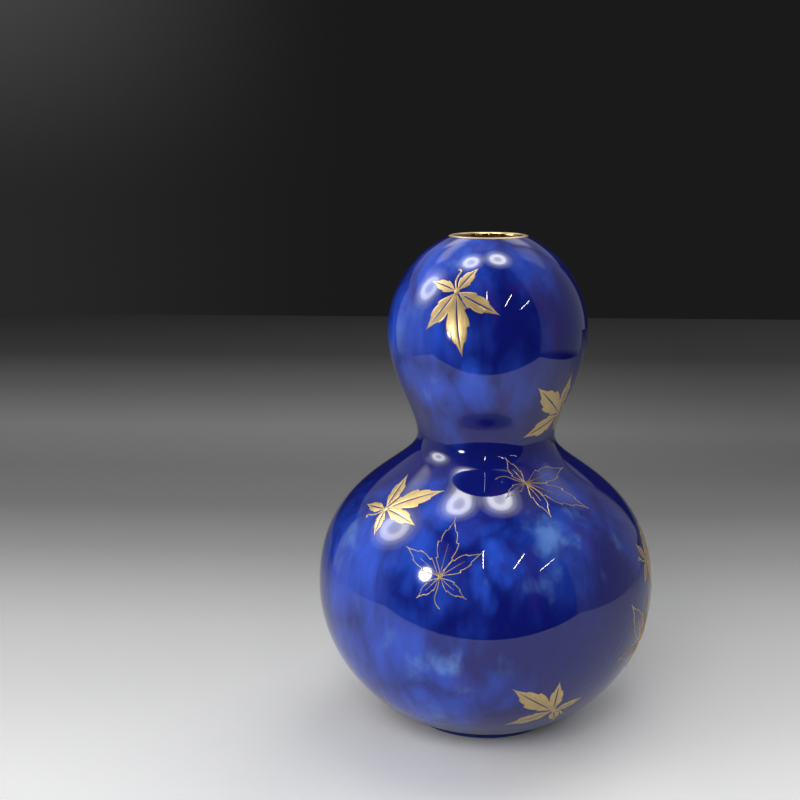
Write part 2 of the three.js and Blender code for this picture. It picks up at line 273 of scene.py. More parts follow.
# Meshes
def make_object(name, points, faces, materials, face_materials=None, smooth=True):
    mesh = bpy.data.meshes.new(name)
    mesh.from_pydata((np.asarray(points) * MM).tolist(), [], faces)
    for material in materials:
        mesh.materials.append(material)
    if face_materials is not None:
        mesh.polygons.foreach_set("material_index", face_materials)
    mesh.validate()
    mesh.polygons.foreach_set("use_smooth", [smooth] * len(mesh.polygons))
    piece = bpy.data.objects.new(name, mesh)
    bpy.context.scene.collection.objects.link(piece)
    return piece


def without_repeats(corners):
    return [c for k, c in enumerate(corners) if c != corners[k - 1]]


def revolve(profile):
    """Turns a closed profile round the axis; ends that lie on the axis become one point.

    Gives the points, the faces, and the number of the profile's edge that each face comes from.
    """
    turn = np.arange(TURN_STEPS) * 2 * math.pi / TURN_STEPS
    points, rings = [], []
    for radius, height in profile:
        if radius < 1e-9:
            rings.append([len(points)] * TURN_STEPS)
            points.append((0, 0, height))
            continue
        rings.append(list(range(len(points), len(points) + TURN_STEPS)))
        points.extend((radius * math.cos(a), radius * math.sin(a), height) for a in turn)
    faces, runs = [], []
    for run, (lower, upper) in enumerate(zip(rings, rings[1:])):
        for i in range(TURN_STEPS):
            j = (i + 1) % TURN_STEPS
            faces.append(without_repeats([lower[i], lower[j], upper[j], upper[i]]))
            runs.append(run)
    return points, faces, runs


def offset(profile, distance):
    along = np.gradient(profile, axis=0)
    along /= np.linalg.norm(along, axis=1)[:, None]
    return profile + distance * np.column_stack([along[:, 1], -along[:, 0]])


def lip_arc(lifts):
    """Points over the lip, from outside to inside, that stand off the porcelain by lifts."""
    turn = np.linspace(math.radians(90 - LIP_SLOPE), math.pi, len(lifts))
    reach = LIP_ROUND + np.asarray(lifts)
    return LIP_CENTRE + np.column_stack([reach * np.cos(turn), reach * np.sin(turn)])


def inner_profile():
    floor = FOOT_RECESS + WALL
    throat = LIP_START[1] - WALL
    wall = offset(outer_profile(INSIDE_STEPS), -WALL)
    wall = wall[(wall[:, 1] > floor + 1) & (wall[:, 1] < throat)]
    # The floor turns up into the wall in a quarter round
    corner = [wall[0] + polar(-90 * t, FLOOR_ROUND) - polar(0, FLOOR_ROUND) for t in (0.3, 0.6, 1)]
    corner[-1][1] = floor
    return np.vstack([[0, floor], corner[::-1], wall, [MOUTH_RADIUS, throat]])[::-1]


def foot_profile():
    inner = FOOT_RADIUS - FOOT_WIDTH
    return np.array([
        [0, FOOT_RECESS],
        [inner - RECESS_FILLET * 3, FOOT_RECESS],
        [inner - RECESS_FILLET, FOOT_RECESS - RECESS_FILLET * 0.2],
        [inner, FOOT_RECESS - RECESS_FILLET],
        [inner, FOOT_BEVEL],
        [inner + FOOT_BEVEL, 0],
        [FOOT_RADIUS - FOOT_BEVEL, 0],
        [FOOT_RADIUS - FOOT_SOFTENING, FOOT_BEVEL - FOOT_SOFTENING],
        [FOOT_RADIUS, FOOT_BEVEL + FOOT_SOFTENING * 3],
    ])


def make_body(cobalt, clear, bare):
    foot = foot_profile()
    outside = outer_profile(OUTSIDE_STEPS)[:-1]
    lip = lip_arc(np.zeros(LIP_STEPS))
    points, faces, runs = revolve(np.vstack([foot, outside, lip, inner_profile()]))
    # The foot ring is bare; the recess and everything inside the lip's crown have the clear glaze
    bare_runs = range(3, len(foot) - 3)
    cobalt_runs = range(bare_runs.stop, len(foot) + len(outside) + len(lip) // 2)
    kinds = [0 if run in cobalt_runs else 2 if run in bare_runs else 1 for run in runs]
    return make_object("vase_body", points, faces, [cobalt, clear, bare], kinds)


def make_rim(gold):
    rise = np.sin(np.linspace(0, math.pi, RIM_STEPS + 2)) ** RIM_FULLNESS
    lifts = RIM_EDGE + (RIM_CROWN - RIM_EDGE) * rise
    crown, back_arc = lip_arc(lifts[1:-1]), lip_arc(np.full(RIM_BACK_STEPS, -RIM_SINK))
    skirt, back_skirt = (lip_arc([lift, 0])[0] + LIP_FLANK * GILT_OUTSIDE for lift in (RIM_EDGE, -RIM_SINK))
    low = LIP_CENTRE[1] - GILT_INSIDE
    face = np.vstack([skirt, crown, [MOUTH_RADIUS - RIM_EDGE, low]])
    back = np.vstack([[MOUTH_RADIUS + RIM_SINK, low], back_arc[::-1], back_skirt])
    points, faces, _ = revolve(np.vstack([face, back, face[:1]]))
    return make_object("gilded_lip", points, faces, [gold])


# Leaves: flat sheets in the plane of the leaf, closed into thin plates on the glaze
class Sheet:
    """Points, each with its mark for the brushwork and its height above the glaze, and faces."""

    def __init__(self):
        self.points, self.marks, self.heights = [], [], []
        self.faces = []
        self.numbers = {}

    def vertex(self, point, mark, height):
        key = (round(point[0], 4), round(point[1], 4))
        if key not in self.numbers:
            self.numbers[key] = len(self.points)
            self.points.append(point)
            self.marks.append(mark)
            self.heights.append(height)
        return self.numbers[key]

    def face(self, corners):
        corners = without_repeats(corners)
        if len(set(corners)) < 3:
            return
        x, y = np.array([self.points[c] for c in corners]).T
        area = np.dot(x, np.roll(y, -1)) - np.dot(y, np.roll(x, -1))
        self.faces.append(corners if area > 0 else corners[::-1])

    def grid(self, rows):
        """rows holds lists of (point, mark, height), all of one length."""
        numbers = [[self.vertex(*entry) for entry in row] for row in rows]
        for low, high in zip(numbers, numbers[1:]):
            for i in range(len(low) - 1):
                self.face([low[i], low[i + 1], high[i + 1], high[i]])

    def rim_edges(self):
        edges = {(a, b) for face in self.faces for a, b in zip(face, face[1:] + face[:1])}
        return [(a, b) for a, b in edges if (b, a) not in edges]

    def round_edge(self, height):
        for a, _ in self.rim_edges():
            self.heights[a] = height


def swell(share):
    """Breadth of a leaflet without its teeth, as a share of its widest."""
    low, high = share / WIDEST, (1 - share) / (1 - WIDEST)
    return (low**WIDEST * np.maximum(high, 0) ** (1 - WIDEST)) ** (TAPER / WIDEST)


def leaflet_shares(teeth):
    """Stations along a leaflet: even ones, and a pair at each tooth and its notch."""
    shares = [0.05, *np.linspace(0.1, 1, LEAFLET_STEPS)]
    shares = [s for s in shares if all(abs(s - t) > NOTCH_STEP * 1.3 for t in teeth)]
    for tooth in teeth:
        shares += [tooth, tooth + NOTCH_STEP]
    return sorted(shares)


def scallop(share, teeth):
    """How the margin bulges between teeth: out to each tooth, then straight in to the notch."""
    notch = 0
    for number, tooth in enumerate(teeth):
        if share <= tooth:
            run = (share - notch) / (tooth - notch)
            start = NOTCH_IN if number else 1
            return start + (TOOTH_OUT - start) * run**0.8
        notch = tooth + NOTCH_STEP
        if share < notch - 1e-9:
            return NOTCH_IN
    run = (share - notch) / (1 - notch)
    return NOTCH_IN + (1 - NOTCH_IN) * run


class Leaflet:
    """One leaflet of a leaf, whose left side is side -1 and whose right side is side 1."""

    def __init__(self, sizes, line, rng):
        self.length = sizes["length"]
        self.half = self.length * sizes["breadth"] / 2 * (LINE_SLIMMING if line else 1)
        self.half *= rng.uniform(1 - BREADTH_VARIATION, 1 + BREADTH_VARIATION)
        self.bow = sizes["bow"] + rng.uniform(-BOW_VARIATION, BOW_VARIATION)
        self.forward = polar(sizes["angle"])
        self.sideways = polar(sizes["angle"] + 90)
        self.teeth = {side: [tooth + rng.uniform(-TOOTH_VARIATION, TOOTH_VARIATION)
                             for tooth in sizes["teeth"]] for side in (-1, 1)}

    def at(self, share, aside):
        bend = self.bow * self.length * math.sin(math.pi * share)
        return self.forward * share * self.length + self.sideways * (bend + aside)

    def margin(self, share, side):
        base = BASE_HALF_BREADTH * (1 - share) ** 4
        return max(self.half * swell(share) * scallop(share, self.teeth[side]), base)


def slit_half_width(share, length):
    start, end = SLIT_SPAN
    run = (share - start) / (end - start)
    if not 0 < run < 1:
        return 0
    return SLIT_WIDTH / 2 * min(1, length / SIDE_LENGTH + 0.2) * math.sin(math.pi * run**0.8) ** 0.55


def filled_leaflet(leaflet):
    sheet = Sheet()
    for side in (-1, 1):
        rows = []
        for share in leaflet_shares(leaflet.teeth[side]):
            outer = leaflet.margin(share, side)
            inner = min(slit_half_width(share, leaflet.length), outer * 0.6)
            asides = [side * (inner + (outer - inner) * across) for across in ACROSS_LEAFLET]
            rows.append([(leaflet.at(share, aside), (share * leaflet.length, aside), GOLD_FACE)
                         for aside in asides])
        sheet.grid(rows)
    return sheet


def brush_line(path, widths):
    """A crowned stroke of the brush along a path of the leaf's plane."""
    path = np.asarray(path, float)
    along = np.gradient(path, axis=0)
    along /= np.linalg.norm(along, axis=1)[:, None]
    aside = np.column_stack([-along[:, 1], along[:, 0]])
    run = distances(path)
    sheet = Sheet()
    rows = []
    for i, point in enumerate(path):
        rows.append([(point + aside[i] * widths[i] / 2 * across, (run[i], across * widths[i] / 2),
                      GOLD_LINE * (1 - across**2) + GOLD_EDGE) for across in ACROSS_LINE])
    sheet.grid(rows)
    return sheet


def blob(centre, radius, height):
    """A low round drop of gold."""
    sheet = Sheet()
    turn = np.linspace(0, 360, BLOB_STEPS + 1)
    rows = [[(centre + polar(a, radius * reach), (a / 40, reach), height * (1 - reach**2) + GOLD_EDGE)
             for a in turn] for reach in (0, 0.4, 0.75, 1)]
    sheet.grid(rows)
    return sheet


def smooth_path(points):
    """Rounds the corners of a polyline twice and spaces its points evenly."""
    points = np.asarray(points, float)
    for _ in range(2):
        near = points[:-1] * 0.75 + points[1:] * 0.25
        far = points[:-1] * 0.25 + points[1:] * 0.75
        middle = np.stack([near, far], axis=1).reshape(-1, 2)
        points = np.vstack([points[:1], middle, points[-1:]])
    run = distances(points)
    even = np.linspace(0, run[-1], max(4, int(run[-1] / LINE_STEP)))
    return np.column_stack([np.interp(even, run, points[:, axis]) for axis in (0, 1)])


def uneven(count, rng, amount):
    """A brush's slowly changing pressure, about 1: three waves of random phase and pace."""
    phases, paces = rng.uniform(0, 6.28, 3), rng.uniform(0.5, 1.6, 3)
    run = np.linspace(0, count * LINE_STEP, count)
    return 1 + amount * sum(np.sin(run * pace + phase) for phase, pace in zip(phases, paces)) / 2


def line_leaflet(leaflet, rng):
    sheets = []
    for side in (-1, 1):
        teeth = leaflet.teeth[side]
        shares = [s for s in leaflet_shares(teeth) if s > 0.06]
        path = [leaflet.at(0.03, side * BASE_HALF_BREADTH)]
        path += [leaflet.at(s, side * max(leaflet.margin(s, side) - LINE_WIDTH / 2, 0)) for s in shares]
        path = smooth_path(path)
        sheets.append(brush_line(path, LINE_WIDTH * uneven(len(path), rng, LINE_PRESSURE)))
        for tooth in teeth:
            corner = leaflet.at(tooth, side * (leaflet.margin(tooth, side) - LINE_WIDTH / 2))
            radius = BLOB_RADIUS * rng.uniform(1 - BLOB_VARIATION, 1 + BLOB_VARIATION)
            sheets.append(blob(corner, radius, GOLD_BLOB))
    end = VEIN_SHARE * rng.uniform(1 - VEIN_VARIATION, 1 + VEIN_VARIATION)
    vein = smooth_path([leaflet.at(s, 0) for s in np.linspace(0.03, end, 9)])
    taper = np.linspace(1.05, 0.45, len(vein))
    sheets.append(brush_line(vein, LINE_WIDTH * taper * uneven(len(vein), rng, VEIN_PRESSURE)))
    return sheets


def stem(line, rng):
    path = smooth_path(CURVED_STEM if line else HOOKED_STEM)
    width = LINE_STEM_WIDTH if line else STEM_WIDTH
    taper = np.interp(np.linspace(0, 1, len(path)), [0, 0.2, 0.8, 1], [0.75, 0.95, 1, 1.15])
    return brush_line(path, width * taper * uneven(len(path), rng, STEM_PRESSURE))


def make_leaf(place, number, gold):
    rng = np.random.default_rng(FIRST_SEED + number)
    line = place.get("line", False)
    reaches, turns = place.get("reach", (1,) * 5), place.get("turn", (0,) * 5)
    sheets = []
    for common, reach, turn in zip(LEAFLETS, reaches, turns):
        own = {"length": common["length"] * reach, "angle": common["angle"] + turn}
        leaflet = Leaflet({**common, **own}, line, rng)
        if line:
            sheets += line_leaflet(leaflet, rng)
        else:
            sheet = filled_leaflet(leaflet)
            sheet.round_edge(GOLD_EDGE)
            sheets.append(sheet)
    sheets.append(stem(line, rng))
    sheets.append(blob(np.zeros(2), HUB_RADIUS * (LINE_HUB_SHARE if line else 1), GOLD_HUB))
    points, faces, marks = [], [], []
    for sheet in sheets:
        flat, count = np.array(sheet.points), len(sheet.points)
        first = sum(len(p) for p in points)
        points.append(lay_on_glaze(place, flat, np.full(count, -GOLD_FOOT)))
        points.append(lay_on_glaze(place, flat, np.array(sheet.heights)))
        marks += sheet.marks * 2
        low, high = first, first + count
        faces += [[high + c for c in face[::-1]] for face in sheet.faces]
        faces += [[low + c for c in face] for face in sheet.faces]
        faces += [[low + b, low + a, high + a, high + b] for a, b in sheet.rim_edges()]
    leaf = make_object(place["node"].replace("gilt", "painted").replace("line", "drawn"),
                       np.vstack(points), faces, [gold])
    uv = leaf.data.uv_layers.new(name="along_and_aside")
    loops = np.zeros(len(leaf.data.loops), int)
    leaf.data.loops.foreach_get("vertex_index", loops)
    uv.data.foreach_set("uv", (np.array(marks)[loops] / 10).ravel())
    leaf.data.set_sharp_from_angle(angle=math.radians(50))
    return leaf


# Materials
class Nodes:
    """The node tree of a new material or world, with short calls to add and join nodes."""

    def __init__(self, name, owners=bpy.data.materials, shader="Principled BSDF"):
        self.owner = owners.new(name)
        self.owner.use_nodes = True
        self.tree = self.owner.node_tree
        self.shader = self.tree.nodes[shader]

    def add(self, kind, inputs=(), **settings):
        node = self.tree.nodes.new(kind)
        for key, value in settings.items():
            setattr(node, key, value)
        for key, value in dict(inputs).items():
            self.join(value, node.inputs[key])
        return node

    def join(self, value, socket):
        if isinstance(value, bpy.types.NodeSocket):
            self.tree.links.new(value, socket)
        else:
            socket.default_value = value

    def math(self, operation, a, b=0.0, clamp=False):
        return self.add("ShaderNodeMath", {0: a, 1: b}, operation=operation, use_clamp=clamp).outputs[0]

    def place(self, scale=(1, 1, 1), offset=(0, 0, 0)):
        """Places on the object in metres, drawn together by scale and then moved."""
        start = self.add("ShaderNodeTexCoord").outputs["Object"]
        mapping = self.add("ShaderNodeMapping", {"Vector": start, "Scale": scale, "Location": offset})
        return mapping.outputs[0]

    def noise(self, vector, scale, detail=2.0, roughness=0.5, distortion=0.0, output=0):
        """Output 0 is one number, and output 1 is three of them."""
        node = self.add("ShaderNodeTexNoise", {"Vector": vector, "Scale": scale, "Detail": detail,
                                               "Roughness": roughness, "Distortion": distortion})
        return node.outputs[output]

    def ramp(self, value, stops, interpolation="EASE"):
        node = self.add("ShaderNodeValToRGB", {"Fac": value})
        node.color_ramp.interpolation = interpolation
        for i, (position, colour) in enumerate(stops):
            element = node.color_ramp.elements[i] if i < 2 else node.color_ramp.elements.new(position)
            element.position = position
            element.color = (*colour, 1) if hasattr(colour, "__len__") else (colour, colour, colour, 1)
        return node.outputs[0]

    def spread(self, value, low, high, to_low=0.0, to_high=1.0):
        """Carries low..high softly over to to_low..to_high, and keeps to the ends beyond them."""
        node = self.add("ShaderNodeMapRange", {"Value": value, "From Min": low, "From Max": high,
                                               "To Min": to_low, "To Max": to_high},
                        interpolation_type="SMOOTHSTEP")
        return node.outputs[0]

    def window(self, value, low, high, low_softness, high_softness):
        """1 between low and high and 0 beyond them, with each edge as soft as it says."""
        rise = self.spread(value, low - low_softness, low + low_softness)
        fall = self.spread(value, high - high_softness, high + high_softness, 1, 0)
        return self.math("MULTIPLY", rise, fall)

    def blend(self, share, a, b):
        node = self.add("ShaderNodeMix", data_type="RGBA")
        self.join(share, node.inputs["Factor"])
        for name, value in (("A", a), ("B", b)):
            socket = [s for s in node.inputs if s.name == name and s.type == "RGBA"][0]
            self.join(value if isinstance(value, bpy.types.NodeSocket) else (*value, 1), socket)
        return [s for s in node.outputs if s.type == "RGBA"][0]

    def bump(self, height, distance, strength):
        node = self.add("ShaderNodeBump", {"Height": height, "Distance": distance, "Strength": strength})
        self.join(node.outputs[0], self.shader.inputs["Normal"])

    def finish(self, **sockets):
        """Sets sockets of the shader, with _ for each space in their names."""
        for name, value in sockets.items():
            self.join(value, self.shader.inputs[name.replace("_", " ")])
        return self.owner


# Broad stretches where the glaze is thinner, and small pale clouds in it: each has an azimuth in
# degrees, a height, a radius and a strength
MISTS = [
    # The belly, from its left round to the front
    (-142, 100, 60, 0.85),
    (-118, 62, 46, 0.68),
    (-142, 46, 46, 0.7),
    (-103, 30, 36, 0.65),
    (-126, 22, 28, 0.95),
    (-114, 30, 24, 0.85),
    (-104, 63, 28, 0.6),
    (-103, 56, 24, 0.9),
    (-98, 77, 22, 0.7),
    (-99, 94, 22, 0.6),
    (-86, 46, 30, 0.62),
    (-91, 98, 16, 0.85),
    (-112, 106, 28, 0.85),
    (-80, 110, 18, 0.9),
    (-25, 112, 34, 0.35),
    (-110, 129, 34, 0.9),
    (-93, 121, 20, 0.8),
    (-62, 112, 40, 0.6),
    (-44, 127, 22, 0.55),
    # The bulb
    (-145, 207, 36, 1.0),
    (-121, 202, 30, 0.8),
    (-104, 240, 30, 0.8),
    (-139, 234, 30, 1.0),
    (-152, 221, 24, 0.95),
    (-57, 237, 30, 0.8),
    (-95, 229, 24, 0.6),
    (-127, 179, 28, 0.95),
    (-102, 184, 22, 0.95),
    (-97, 206, 22, 0.55),
    (-76, 178, 24, 0.5),
    (-127, 160, 20, 0.45),
    # Round the back
    (30, 90, 50, 0.75),
    (80, 60, 50, 0.75),
    (120, 110, 46, 0.8),
    (165, 50, 50, 0.85),
    (60, 205, 40, 0.75),
    (120, 230, 34, 0.7),
    (150, 190, 36, 0.8),
]
CLOUDS = [
    # The turquoise cloud on the right of the front, with its arms and the drops below it
    (-64, 114, 18, 0.95),
    (-57, 111, 11, 0.8),
    (-69, 120, 12, 0.8),
    (-51, 122, 9, 0.5),
    (-66, 104, 13, 0.5),
    (-73, 97, 15, 0.6),
    (-79, 99, 8, 0.4),
    (-88, 108, 8, 0.4),
    (-90, 97, 8, 0.5),
    (-84, 98, 7, 0.35),
    (-34, 107, 14, 0.35),
    (-48, 96, 12, 0.3),
    # The left of the belly
    (-146, 106, 16, 0.7),
    (-148, 92, 15, 0.6),
    (-124, 92, 15, 0.35),
    (-133, 77, 16, 0.35),
    (-112, 104, 13, 0.3),
    # Low on the front
    (-102, 61, 14, 0.95),
    (-109, 57, 14, 0.6),
    (-122, 68, 17, 0.5),
    (-112, 48, 17, 0.5),
    (-96, 44, 15, 0.4),
    (-84, 58, 12, 0.4),
    (-88, 70, 7, 0.3),
    (-110, 28, 18, 0.45),
    (-75, 50, 10, 0.3),
    # Round the back of the belly
    (8, 52, 20, 0.5),
    (30, 100, 24, 0.8),
    (75, 60, 24, 0.8),
    (110, 112, 22, 0.7),
    (155, 45, 24, 0.6),
    # The bulb
    (-132, 177, 12, 0.75),
    (-121, 185, 9, 0.45),
    (-100, 184, 9, 0.35),
    (-130, 222, 20, 0.5),
    (-152, 200, 22, 0.5),
    (-107, 242, 15, 0.6),
    (60, 205, 22, 0.5),
    (120, 225, 20, 0.4),
    (170, 188, 20, 0.5),
]
GLAZE_DARK = (0.0035, 0.006, 0.115)
GLAZE_BLUE = (0.02, 0.07, 0.5)
GLAZE_CLOUD = (0.085, 0.19, 0.51)
GLAZE_RUST = (0.02, 0.009, 0.13)
GLAZE_POOL_AND_SHADE = (0.003, 0.005, 0.075)
CLEAR_GLAZE = ((0.74, 0.75, 0.75), (0.81, 0.8, 0.78))
BARE_BISCUIT = ((0.62, 0.56, 0.47), (0.75, 0.7, 0.62))
GLAZE_IOR = 1.52

# Painted shade in the hollow of the waist, over the glaze pooled there: its heights, how soft they are, and
# its strength
POOL_AND_SHADE_HEIGHTS = (WAIST_HEIGHT - 5, WAIST_HEIGHT)
POOL_AND_SHADE_SOFTNESS = (5, 4)
POOL_AND_SHADE_STRENGTH = 0.7


def drift(m, point, scale, reach, stretch):
    """Moves a point of the glaze by up to half of reach along each axis, so that clouds turn uneven."""
    noise = m.noise(m.place(stretch), scale, detail=3, output=1)
    centred = m.add("ShaderNodeVectorMath", {0: noise, 1: (0.5, 0.5, 0.5)}, operation="SUBTRACT").outputs[0]
    push = m.add("ShaderNodeVectorMath", {0: centred, "Scale": reach}, operation="SCALE").outputs[0]
    return m.add("ShaderNodeVectorMath", {0: point, 1: push}, operation="ADD").outputs[0]


def spots(m, point, places):
    """Round spots on the glaze that fade toward their edges; where they overlap, the strongest counts."""
    total = 0.0
    for azimuth, height, radius, strength in places:
        along = np.interp(height, MERIDIAN[:, 1], ALONG)
        out = on_meridian(along)[0]
        centre = [*(polar(azimuth, out) * MM), height * MM]
        apart = m.add("ShaderNodeVectorMath", {0: point, 1: centre}, operation="DISTANCE").outputs["Value"]
        total = m.math("MAXIMUM", total, m.spread(apart, 0, radius * MM, strength, 0))
    return total


def feathered(m, shares, scale, stretch, offset, sway, low, high):
    """Frays the edges of spots with noise that sways their shares either way. Stretch is up the vase."""
    noise = m.noise(m.place((1, 1, stretch), offset=offset), scale, detail=4, roughness=0.58, distortion=0.4)
    swayed = m.math("ADD", shares, m.math("MULTIPLY", m.math("SUBTRACT", noise, 0.5), sway))
    return m.spread(swayed, low, high)


def cobalt_glaze():
    m = Nodes("cobalt_glaze")
    start = m.add("ShaderNodeTexCoord").outputs["Object"]
    near = drift(m, start, scale=60, reach=0.024, stretch=(1, 1, 0.5))
    far = drift(m, near, scale=26, reach=0.035, stretch=(1, 1, 0.6))
    mist = feathered(m, spots(m, far, MISTS), scale=52, stretch=0.45, offset=(0.31, 0.12, 0.04),
                     sway=1.3, low=0, high=1.05)
    # Fine streaks run down through the mists
    streaks = m.noise(m.place((1, 1, 0.13), offset=(0.7, 0.2, 0)), scale=150, detail=2)
    mist = m.math("MULTIPLY", mist, m.spread(streaks, 0.36, 0.6, 0.8, 1))
    cloudy = feathered(m, spots(m, near, CLOUDS), scale=78, stretch=0.55, offset=(0.2, 0.6, 0.1),
                       sway=1.2, low=0.22, high=1.1)
    depth = m.blend(mist, GLAZE_DARK, GLAZE_BLUE)
    rust = m.noise(m.place((1, 1, 0.22), offset=(0.55, 0.13, 0.3)), scale=62, detail=3, distortion=0.7)
    depth = m.blend(m.spread(rust, 0.53, 0.7, 0, 0.5), depth, GLAZE_RUST)
    colour = m.blend(cloudy, depth, GLAZE_CLOUD)
    # The glaze gathers in the hollow of the waist, and painted shade darkens it there too
    up = m.add("ShaderNodeSeparateXYZ", {0: start}).outputs[2]
    low, high, low_softness, high_softness = (length * MM for length in (*POOL_AND_SHADE_HEIGHTS, *POOL_AND_SHADE_SOFTNESS))
    pool_and_shade = m.math("MULTIPLY", m.window(up, low, high, low_softness, high_softness), POOL_AND_SHADE_STRENGTH)
    colour = m.blend(pool_and_shade, colour, GLAZE_POOL_AND_SHADE)
    fine = m.noise(m.place(), scale=900, detail=1)
    m.bump(fine, distance=0.00001, strength=0.15)
    return m.finish(Base_Color=colour, Roughness=0.03, IOR=GLAZE_IOR)


def clear_glaze():
    m = Nodes("clear_glaze")
    cloud = m.noise(m.place(), scale=60, detail=3)
    colour = m.blend(cloud, *CLEAR_GLAZE)
    return m.finish(Base_Color=colour, Roughness=0.12, IOR=GLAZE_IOR)


def biscuit():
    m = Nodes("bare_biscuit")
    grain = m.noise(m.place(), scale=900, detail=3)
    colour = m.blend(grain, *BARE_BISCUIT)
    m.bump(grain, distance=0.0002, strength=0.4)
    return m.finish(Base_Color=colour, Roughness=0.85)


# Colours of the gilding on the leaves, and on the rim's crown and its inside, which is darkened as painted
# shade. The rim turns bright over CROWN_BAND, in mm outward from the mouth's radius
GOLD_LIGHT = (0.69, 0.52, 0.235)
GOLD_DEEP = (0.35, 0.23, 0.078)
GOLD_CROWN = ((0.82, 0.61, 0.34), (0.9, 0.71, 0.43))
GOLD_SHADED_INSIDE = (0.5, 0.27, 0.07)
CROWN_BAND = (0.1, 0.7)

# Brush strokes on a leaflet: how far they slant back from the midrib, how much they wobble, and
# how close together they lie
STROKE_SLANT = 1.1
STROKE_WOBBLE = 0.06
STROKE_PACE = 68


def painted_gold():
    """Satin gilding, brushed on from the midrib out to the margin."""
    m = Nodes("painted_gold")
    marks = m.add("ShaderNodeUVMap", uv_map="along_and_aside").outputs[0]
    split = m.add("ShaderNodeSeparateXYZ", {0: marks})
    aside = m.math("ABSOLUTE", split.outputs[1])
    slanted = m.math("SUBTRACT", split.outputs[0], m.math("MULTIPLY", aside, STROKE_SLANT))
    wobble = m.noise(m.place(), scale=220, detail=2)
    slanted = m.math("ADD", slanted, m.math("MULTIPLY", wobble, STROKE_WOBBLE))
    hatch = m.math("SINE", m.math("MULTIPLY", slanted, STROKE_PACE))
    hatch = m.math("MULTIPLY", m.math("ADD", hatch, 1.0), 0.5)
    mottle = m.noise(m.place(), scale=260, detail=3, roughness=0.6)
    tone = m.math("ADD", m.math("MULTIPLY", hatch, 0.5), m.math("MULTIPLY", mottle, 0.5), clamp=True)
    colour = m.blend(m.spread(tone, 0.2, 0.8), GOLD_DEEP, GOLD_LIGHT)
    rough = m.spread(mottle, 0.2, 0.8, 0.32, 0.44)
    ridges = m.math("ADD", m.math("MULTIPLY", hatch, 0.5), mottle)
    m.bump(ridges, distance=0.00004, strength=0.5)
    return m.finish(Base_Color=colour, Metallic=0.78, Roughness=rough, Coat_Weight=0.35,
                    Coat_Roughness=0.08)


def polished_gold():
    """Bright gilding on the crown of the lip, with painted shade making it darker and deeper in colour
    inside the mouth.
    """
    m = Nodes("polished_gold")
    place = m.add("ShaderNodeSeparateXYZ", {0: m.add("ShaderNodeTexCoord").outputs["Object"]})
    flat = m.add("ShaderNodeCombineXYZ", {0: place.outputs[0], 1: place.outputs[1]})
    out = m.add("ShaderNodeVectorMath", {0: flat.outputs[0]}, operation="LENGTH").outputs["Value"]
    crown = m.spread(out, *((MOUTH_RADIUS + reach) * MM for reach in CROWN_BAND))
    mottle = m.noise(m.place(), scale=60, detail=1)
    bright = m.blend(mottle, *GOLD_CROWN)
    # Inside the mouth the gilding takes a darker colour, as painted shade
    colour = m.blend(crown, GOLD_SHADED_INSIDE, bright)
    return m.finish(Base_Color=colour, Metallic=1.0, Roughness=m.spread(crown, 0, 1, 0.14, 0.34))


# Stage: a pale table in front of a dark backdrop, with soft round lamps, thin tubes and softboxes.
# The table's outline is a list of corners in metres, and it widens at the back. Its tones are
# pairs of y and tone: the table's pale colour with a painted fall-off of light, fading as painted shade into
# the dark toward the back and the far right
TABLE_CORNERS = [(-0.55, -0.28), (0.5, -0.28), (0.55, 0.5), (1.5, 1.5), (-1.5, 1.5), (-0.6, 0.5)]
TABLE_DEPTH = 0.03
TABLE_EDGE = 0.004
TABLE_TONES_WITH_PAINTED_FALLOFF = [(-0.28, 0.7), (-0.1, 0.7), (0, 0.57), (0.1, 0.47), (0.25, 0.25), (0.36, 0.155),
               (0.48, 0.14), (0.65, 0.17), (0.85, 0.1), (1.1, 0.04), (1.5, 0.02)]
FAR_RIGHT_X = (-0.15, 0.35)
FAR_RIGHT_Y = (0.3, 0.6)
FAR_RIGHT_PAINTED_SHADE = 0.42

# The backdrop's brightness, and the haze toward its upper left: the azimuths over which it comes up,
# the elevations over which it rises from its low share, and its brightness
BACKDROP = 0.0105
HAZE_AZIMUTH = (96, 114)
HAZE_ELEVATION = (-3, 9)
HAZE_LOW_SHARE = 0.2
HAZE = 0.052


def make_floor():
    m = Nodes("pale_floor")
    place = m.add("ShaderNodeSeparateXYZ", {0: m.add("ShaderNodeTexCoord").outputs["Object"]})
    # The tone runs from the pale front into painted shade at the back
    front, back = TABLE_TONES_WITH_PAINTED_FALLOFF[0][0], TABLE_TONES_WITH_PAINTED_FALLOFF[-1][0]
    share = m.math("DIVIDE", m.math("SUBTRACT", place.outputs[1], front), back - front)
    stops = [((y - front) / (back - front), tone) for y, tone in TABLE_TONES_WITH_PAINTED_FALLOFF]
    tone = m.ramp(share, stops, "LINEAR")
    # Painted shade darkens the far right of the table
    right, far = m.spread(place.outputs[0], *FAR_RIGHT_X), m.spread(place.outputs[1], *FAR_RIGHT_Y)
    fade = m.math("MULTIPLY", m.math("MULTIPLY", right, far), FAR_RIGHT_PAINTED_SHADE)
    tone = m.blend(fade, tone, (0, 0, 0))
    m.finish(Base_Color=tone, Roughness=0.6, Specular_IOR_Level=0.02)
    count = len(TABLE_CORNERS)
    points = [(x, y, z) for z in (-TABLE_DEPTH, 0) for x, y in TABLE_CORNERS]
    top = [count + i for i in range(count)]
    sides = [[i, (i + 1) % count, count + (i + 1) % count, count + i] for i in range(count)]
    faces = [list(range(count))[::-1], top, *sides]
    floor = make_object("floor", np.array(points) / MM, faces, [m.owner], smooth=False)
    edge = floor.modifiers.new("soft_edge", "BEVEL")
    edge.width = TABLE_EDGE
    edge.segments = 3


